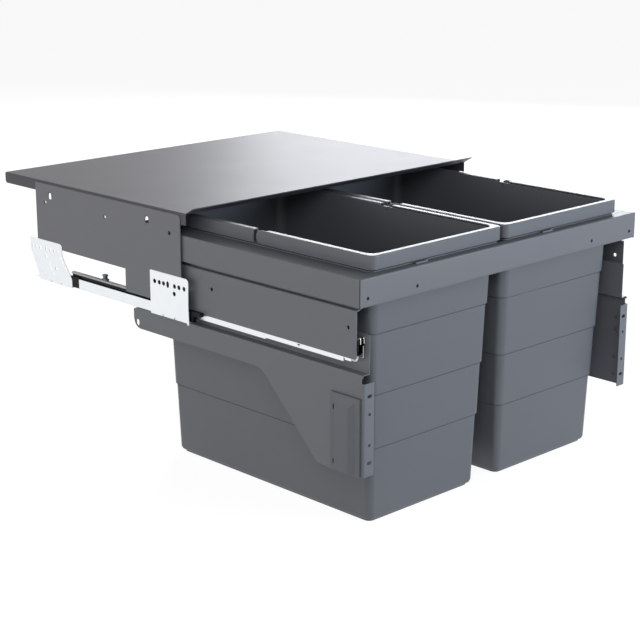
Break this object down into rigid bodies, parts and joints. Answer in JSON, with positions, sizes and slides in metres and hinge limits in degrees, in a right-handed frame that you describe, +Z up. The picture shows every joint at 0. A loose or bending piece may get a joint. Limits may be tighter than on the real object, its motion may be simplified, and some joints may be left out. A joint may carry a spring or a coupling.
{
  "type": "pull out trash cabinet",
  "caption": "Pull-out waste unit for a base cabinet: a covered sheet-steel frame on telescopic soft-close runners carries lift-out bins side by side, with brackets for the cabinet front.",
  "frame": {"origin": "middle of the cabinet's clear width, under the front bend of the cover, at the height of the feet of the bins", "axes": "+Z up, +X to the right as seen from the front of the cabinet, +Y to the back; the drawer opens towards -Y"},
  "size_m": [0.564, 0.744, 0.3767],
  "materials": {
    "powder_coat": "satin powder coat",
    "zinc": "bright zinc plate",
    "bin_plastic": "fine-grained moulding",
    "bail_plastic": "smooth moulding",
    "cap_plastic": "smooth moulding",
    "black_plastic": "satin moulding"
  },
  "bodies": {
    "fixed": {"cover": "powder_coat", "side_plate_right": "powder_coat", "side_plate_left": "powder_coat", "front_bracket_right": "zinc", "front_bracket_left": "zinc", "rear_bracket_right": "zinc", "rear_bracket_left": "zinc", "fixed_rail_right": "zinc", "fixed_rail_left": "zinc", "soft_close_housing_right": "black_plastic", "soft_close_housing_left": "black_plastic", "soft_close_lid_right": "cap_plastic", "soft_close_lid_left": "cap_plastic", "rail_mouth_right": "black_plastic", "rail_mouth_left": "black_plastic"},
    "trigger_right": {"soft_close_trigger_right": "cap_plastic"},
    "trigger_left": {"soft_close_trigger_left": "cap_plastic"},
    "lower_cage_right": {"lower_roller_cage_right": "black_plastic"},
    "lower_cage_left": {"lower_roller_cage_left": "black_plastic"},
    "middle_right": {"middle_rail_right": "zinc"},
    "middle_left": {"middle_rail_left": "zinc"},
    "upper_cage_right": {"upper_roller_cage_right": "black_plastic"},
    "upper_cage_left": {"upper_roller_cage_left": "black_plastic"},
    "drawer": {"front_panel": "powder_coat", "rear_frame_rail": "powder_coat", "frame_side_right": "powder_coat", "frame_side_left": "powder_coat", "runner_side_right": "powder_coat", "runner_side_left": "powder_coat", "moving_rail_right": "zinc", "moving_rail_left": "zinc", "door_bracket_right": "powder_coat", "door_bracket_left": "powder_coat", "rail_catch_right": "black_plastic", "rail_catch_left": "black_plastic", "bin_right": "bin_plastic", "bin_left": "bin_plastic"},
    "cap_right": {"adjuster_cap_right": "cap_plastic"},
    "cap_left": {"adjuster_cap_left": "cap_plastic"},
    "bail_right": {"bail_right": "bail_plastic"},
    "bail_left": {"bail_left": "bail_plastic"}
  },
  "joints": [
    {"name": "drawer_slide", "type": "slide", "parent": "fixed", "child": "drawer", "axis": [0, 1, 0], "range_m": [0, 0.31]},
    {"name": "middle_slide_right", "type": "slide", "parent": "fixed", "child": "middle_right", "axis": [0, 1, 0], "range_m": [0, 0.155]},
    {"name": "middle_slide_left", "type": "slide", "parent": "fixed", "child": "middle_left", "axis": [0, 1, 0], "range_m": [0, 0.155]},
    {"name": "lower_cage_slide_right", "type": "slide", "parent": "fixed", "child": "lower_cage_right", "axis": [0, 1, 0], "range_m": [0, 0.0775]},
    {"name": "lower_cage_slide_left", "type": "slide", "parent": "fixed", "child": "lower_cage_left", "axis": [0, 1, 0], "range_m": [0, 0.0775]},
    {"name": "upper_cage_slide_right", "type": "slide", "parent": "fixed", "child": "upper_cage_right", "axis": [0, 1, 0], "range_m": [0, 0.2325]},
    {"name": "upper_cage_slide_left", "type": "slide", "parent": "fixed", "child": "upper_cage_left", "axis": [0, 1, 0], "range_m": [0, 0.2325]},
    {"name": "trigger_slide_right", "type": "slide", "parent": "fixed", "child": "trigger_right", "axis": [0, 1, 0], "range_m": [0, 0.045]},
    {"name": "trigger_slide_left", "type": "slide", "parent": "fixed", "child": "trigger_left", "axis": [0, 1, 0], "range_m": [0, 0.045]},
    {"name": "cap_slide_right", "type": "slide", "parent": "drawer", "child": "cap_right", "axis": [1, 0, 0], "range_m": [0, 0.01]},
    {"name": "cap_slide_left", "type": "slide", "parent": "drawer", "child": "cap_left", "axis": [-1, 0, 0], "range_m": [0, 0.01]},
    {"name": "bail_hinge_right", "type": "hinge", "parent": "drawer", "child": "bail_right", "pos_m": [0.1255, -0.11265, 0.34965], "axis": [1, 0, 0], "range_deg": [-90, 0]},
    {"name": "bail_hinge_left", "type": "hinge", "parent": "drawer", "child": "bail_left", "pos_m": [-0.1255, -0.11265, 0.34965], "axis": [1, 0, 0], "range_deg": [-90, 0]}
  ],
  "couplings": [
    {"joint": "middle_slide_right", "follows": "drawer_slide", "ratio": 0.5},
    {"joint": "middle_slide_left", "follows": "drawer_slide", "ratio": 0.5},
    {"joint": "lower_cage_slide_right", "follows": "drawer_slide", "ratio": 0.25},
    {"joint": "lower_cage_slide_left", "follows": "drawer_slide", "ratio": 0.25},
    {"joint": "upper_cage_slide_right", "follows": "drawer_slide", "ratio": 0.75},
    {"joint": "upper_cage_slide_left", "follows": "drawer_slide", "ratio": 0.75}
  ]
}
